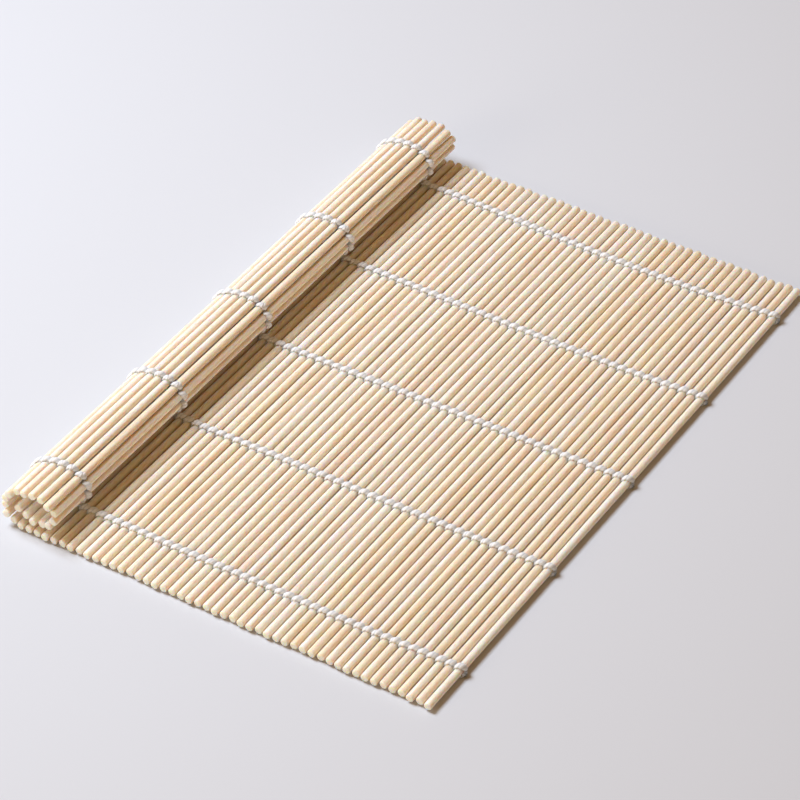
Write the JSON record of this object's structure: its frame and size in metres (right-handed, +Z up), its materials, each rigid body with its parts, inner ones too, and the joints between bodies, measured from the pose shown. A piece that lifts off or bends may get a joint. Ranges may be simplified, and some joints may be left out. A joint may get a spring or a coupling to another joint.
{
  "type": "sushi rolling mat",
  "caption": "Thin round bamboo rods twined side by side into a flexible mat by rows of doubled cotton cord, flat with one end rolled up.",
  "frame": {"origin": "on the table, under the middle of the 25th rod from the free edge", "axes": "+X across the rods towards the free flat edge, +Y along the rods, +Z up from the table"},
  "size_m": [0.1634, 0.2408, 0.0184],
  "materials": {
    "bamboo": "smooth unvarnished bamboo",
    "cotton": "plain twisted cotton string"
  },
  "bodies": {
    "mat": {"flat_rods_01": "bamboo", "flat_rods_02": "bamboo", "flat_rods_03": "bamboo", "flat_rods_04": "bamboo", "flat_rods_05": "bamboo", "flat_rods_06": "bamboo", "flat_rods_07": "bamboo", "flat_rods_08": "bamboo", "flat_rods_09": "bamboo", "flat_rods_10": "bamboo", "flat_rods_11": "bamboo", "flat_rods_12": "bamboo", "flat_rods_13": "bamboo", "flat_rods_14": "bamboo", "flat_rods_15": "bamboo", "flat_rods_16": "bamboo", "cord_row_1": "cotton", "cord_row_2": "cotton", "cord_row_3": "cotton", "cord_row_4": "cotton", "cord_row_5": "cotton"},
    "roll_01": {"roll_rod_01": "bamboo", "roll_cords_01": "cotton"},
    "roll_02": {"roll_rod_02": "bamboo", "roll_cords_02": "cotton"},
    "roll_03": {"roll_rod_03": "bamboo", "roll_cords_03": "cotton"},
    "roll_04": {"roll_rod_04": "bamboo", "roll_cords_04": "cotton"},
    "roll_05": {"roll_rod_05": "bamboo", "roll_cords_05": "cotton"},
    "roll_06": {"roll_rod_06": "bamboo", "roll_cords_06": "cotton"},
    "roll_07": {"roll_rod_07": "bamboo", "roll_cords_07": "cotton"},
    "roll_08": {"roll_rod_08": "bamboo", "roll_cords_08": "cotton"},
    "roll_09": {"roll_rod_09": "bamboo", "roll_cords_09": "cotton"},
    "roll_10": {"roll_rod_10": "bamboo", "roll_cords_10": "cotton"},
    "roll_11": {"roll_rod_11": "bamboo", "roll_cords_11": "cotton"},
    "roll_12": {"roll_rod_12": "bamboo", "roll_cords_12": "cotton"},
    "roll_13": {"roll_rod_13": "bamboo", "roll_cords_13": "cotton"},
    "roll_14": {"roll_rod_14": "bamboo", "roll_cords_14": "cotton"},
    "roll_15": {"roll_rod_15": "bamboo", "roll_cords_15": "cotton"},
    "roll_16": {"roll_rod_16": "bamboo", "roll_cords_16": "cotton"},
    "roll_17": {"roll_rod_17": "bamboo", "roll_cords_17": "cotton"}
  },
  "joints": [
    {"name": "unroll", "type": "hinge", "parent": "mat", "child": "roll_01", "pos_m": [-0.07614, 0, 0.00184], "axis": [0, -1, 0], "range_deg": [0, 30]},
    {"name": "bend_02", "type": "hinge", "parent": "roll_01", "child": "roll_02", "pos_m": [-0.07895, 0, 0.00346], "axis": [0, -1, 0], "range_deg": [0, 30.01]},
    {"name": "bend_03", "type": "hinge", "parent": "roll_02", "child": "roll_03", "pos_m": [-0.08057, 0, 0.00627], "axis": [0, -1, 0], "range_deg": [0, 30.01]},
    {"name": "bend_04", "type": "hinge", "parent": "roll_03", "child": "roll_04", "pos_m": [-0.08057, 0, 0.00951], "axis": [0, -1, 0], "range_deg": [0, 23.01]},
    {"name": "bend_05", "type": "hinge", "parent": "roll_04", "child": "roll_05", "pos_m": [-0.0793, 0, 0.01249], "axis": [0, -1, 0], "range_deg": [0, 23.01]},
    {"name": "bend_06", "type": "hinge", "parent": "roll_05", "child": "roll_06", "pos_m": [-0.07697, 0, 0.01474], "axis": [0, -1, 0], "range_deg": [0, 23.01]},
    {"name": "bend_07", "type": "hinge", "parent": "roll_06", "child": "roll_07", "pos_m": [-0.07394, 0, 0.0159], "axis": [0, -1, 0], "range_deg": [0, 10.01]},
    {"name": "bend_08", "type": "hinge", "parent": "roll_07", "child": "roll_08", "pos_m": [-0.07076, 0, 0.01652], "axis": [0, -1, 0], "range_deg": [0, 10.01]},
    {"name": "bend_09", "type": "hinge", "parent": "roll_08", "child": "roll_09", "pos_m": [-0.06752, 0, 0.01658], "axis": [0, -1, 0], "range_deg": [0, 10.01]},
    {"name": "bend_10", "type": "hinge", "parent": "roll_09", "child": "roll_10", "pos_m": [-0.06432, 0, 0.01607], "axis": [0, -1, 0], "range_deg": [0, 26.01]},
    {"name": "bend_11", "type": "hinge", "parent": "roll_10", "child": "roll_11", "pos_m": [-0.06167, 0, 0.01421], "axis": [0, -1, 0], "range_deg": [0, 38.01]},
    {"name": "bend_12", "type": "hinge", "parent": "roll_11", "child": "roll_12", "pos_m": [-0.06072, 0, 0.01112], "axis": [0, -1, 0], "range_deg": [0, 38.01]},
    {"name": "bend_13", "type": "hinge", "parent": "roll_12", "child": "roll_13", "pos_m": [-0.06188, 0, 0.00809], "axis": [0, -1, 0], "range_deg": [0, 38.01]},
    {"name": "bend_14", "type": "hinge", "parent": "roll_13", "child": "roll_14", "pos_m": [-0.06466, 0, 0.00642], "axis": [0, -1, 0], "range_deg": [0, 20.01]},
    {"name": "bend_15", "type": "hinge", "parent": "roll_14", "child": "roll_15", "pos_m": [-0.06784, 0, 0.0058], "axis": [0, -1, 0], "range_deg": [0, 20.01]},
    {"name": "bend_16", "type": "hinge", "parent": "roll_15", "child": "roll_16", "pos_m": [-0.07104, 0, 0.00631], "axis": [0, -1, 0], "range_deg": [0, 17.01]},
    {"name": "bend_17", "type": "hinge", "parent": "roll_16", "child": "roll_17", "pos_m": [-0.07395, 0, 0.00773], "axis": [0, -1, 0], "range_deg": [0, 17.01]}
  ],
  "couplings": [
    {"joint": "bend_02", "follows": "unroll", "ratio": 1},
    {"joint": "bend_03", "follows": "unroll", "ratio": 1},
    {"joint": "bend_04", "follows": "unroll", "ratio": 0.76667},
    {"joint": "bend_05", "follows": "unroll", "ratio": 0.76667},
    {"joint": "bend_06", "follows": "unroll", "ratio": 0.76667},
    {"joint": "bend_07", "follows": "unroll", "ratio": 0.33333},
    {"joint": "bend_08", "follows": "unroll", "ratio": 0.33333},
    {"joint": "bend_09", "follows": "unroll", "ratio": 0.33333},
    {"joint": "bend_10", "follows": "unroll", "ratio": 0.86667},
    {"joint": "bend_11", "follows": "unroll", "ratio": 1.2667},
    {"joint": "bend_12", "follows": "unroll", "ratio": 1.2667},
    {"joint": "bend_13", "follows": "unroll", "ratio": 1.2667},
    {"joint": "bend_14", "follows": "unroll", "ratio": 0.66667},
    {"joint": "bend_15", "follows": "unroll", "ratio": 0.66667},
    {"joint": "bend_16", "follows": "unroll", "ratio": 0.56667},
    {"joint": "bend_17", "follows": "unroll", "ratio": 0.56667}
  ]
}
